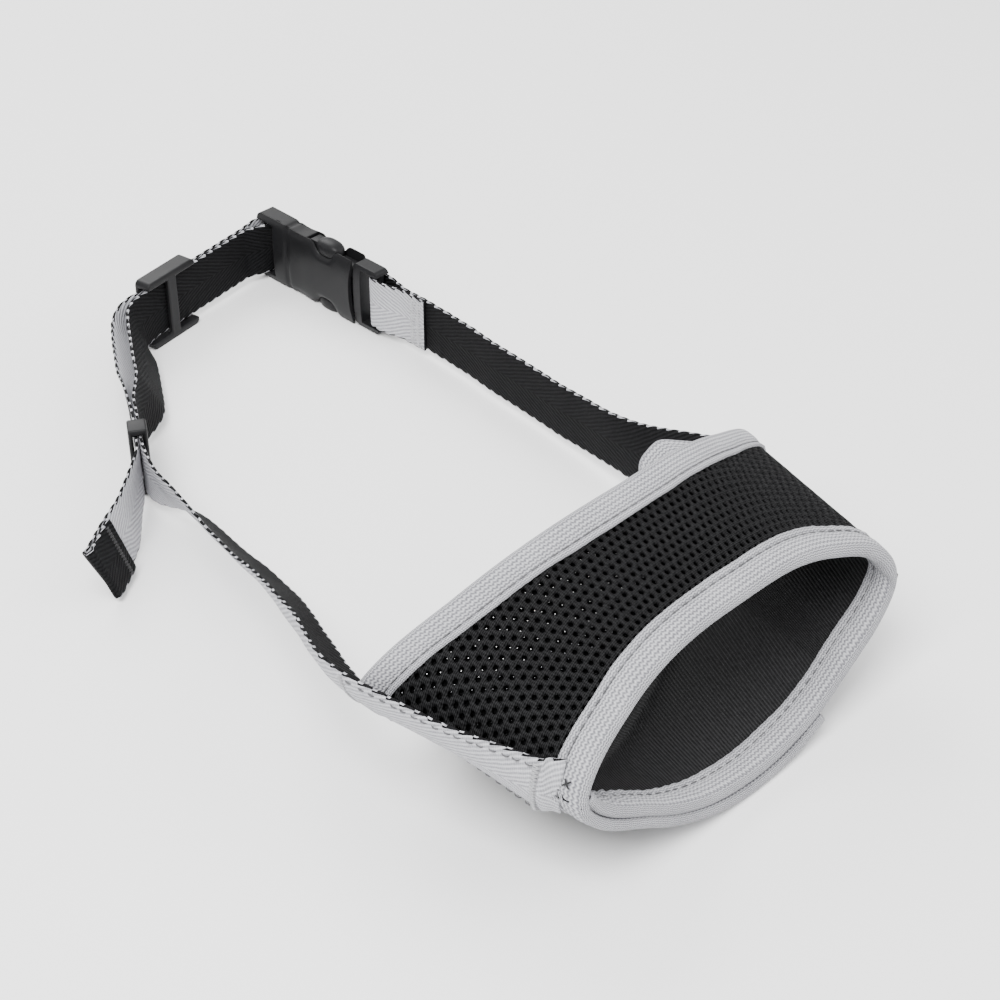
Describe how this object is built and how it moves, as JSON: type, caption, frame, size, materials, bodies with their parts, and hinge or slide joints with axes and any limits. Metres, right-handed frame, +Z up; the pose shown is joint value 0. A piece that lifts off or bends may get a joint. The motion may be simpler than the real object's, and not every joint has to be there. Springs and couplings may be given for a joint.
{
  "type": "soft dog muzzle",
  "caption": "Soft fabric dog muzzle: tapered sleeve with air-mesh top and overlapping chin flaps, bound edges, webbing neck strap, slide adjuster and side release buckle.",
  "frame": {"origin": "middle of the underside of the whole muzzle as it lies on a flat surface with its strap buckled", "axes": "+Z up, -Y out through the nose opening, +Y towards the neck strap's buckle end, +X to the side with the buckle"},
  "size_m": [0.1702, 0.307, 0.071],
  "materials": {
    "air_mesh": "knitted spacer mesh, matt",
    "chin_cloth": "ribbed woven nylon",
    "binding_tape": "knitted binding tape, matt",
    "webbing": "two-tone twill webbing",
    "grey_thread": "twisted polyester thread",
    "black_thread": "twisted polyester thread",
    "hook_tape": "hook tape",
    "loop_tape": "brushed loop tape",
    "buckle_plastic": "satin moulded acetal",
    "slider_plastic": "satin moulded acetal"
  },
  "bodies": {
    "muzzle": {"mesh_panel": "air_mesh", "front_binding_top": "binding_tape", "rear_binding_top": "binding_tape", "front_binding_outer": "binding_tape", "rear_binding_outer": "binding_tape", "front_binding_inner": "binding_tape", "rear_binding_inner": "binding_tape", "chin_flap_outer": "chin_cloth", "chin_flap_inner": "chin_cloth", "chin_hook_patch": "hook_tape", "chin_loop_patch": "loop_tape", "near_strap": "webbing", "far_strap": "webbing", "front_stitching_top": "grey_thread", "rear_stitching_top": "grey_thread", "front_stitching_inner": "grey_thread", "rear_stitching_inner": "grey_thread", "seam_stitching_near": "grey_thread", "seam_stitching_far": "grey_thread", "seam_bartacks_near": "grey_thread", "seam_bartacks_far": "grey_thread", "bartack_tail": "black_thread", "buckle_female": "buckle_plastic"},
    "buckle_plug": {"buckle_male": "buckle_plastic", "bartack_male_loop": "grey_thread"},
    "upper_latch": {"prong_upper": "buckle_plastic"},
    "lower_latch": {"prong_lower": "buckle_plastic"},
    "adjuster": {"tri_glide": "slider_plastic"},
    "keeper": {"strap_keeper": "slider_plastic"}
  },
  "joints": [
    {"name": "buckle_release", "type": "slide", "parent": "muzzle", "child": "buckle_plug", "axis": [0, -1, 0], "range_m": [0, 0.03], "deforming": ["far_strap"]},
    {"name": "upper_latch_press", "type": "hinge", "parent": "buckle_plug", "child": "upper_latch", "pos_m": [0.08056, 0.10322, 0.0208], "axis": [-1, 0, 0], "range_deg": [0, 8], "stiffness_Nm_per_rad": 0.5},
    {"name": "lower_latch_press", "type": "hinge", "parent": "buckle_plug", "child": "lower_latch", "pos_m": [0.08056, 0.10322, 0.0052], "axis": [1, 0, 0], "range_deg": [0, 8], "stiffness_Nm_per_rad": 0.5},
    {"name": "adjuster_slide", "type": "slide", "parent": "muzzle", "child": "adjuster", "axis": [0.9848, 0.1736, 0], "range_m": [0, 0.02]},
    {"name": "keeper_slide", "type": "slide", "parent": "muzzle", "child": "keeper", "axis": [0.5384, 0.8427, 0], "range_m": [0, 0.014]}
  ],
  "couplings": [
    {"joint": "lower_latch_press", "follows": "upper_latch_press", "ratio": 1}
  ]
}
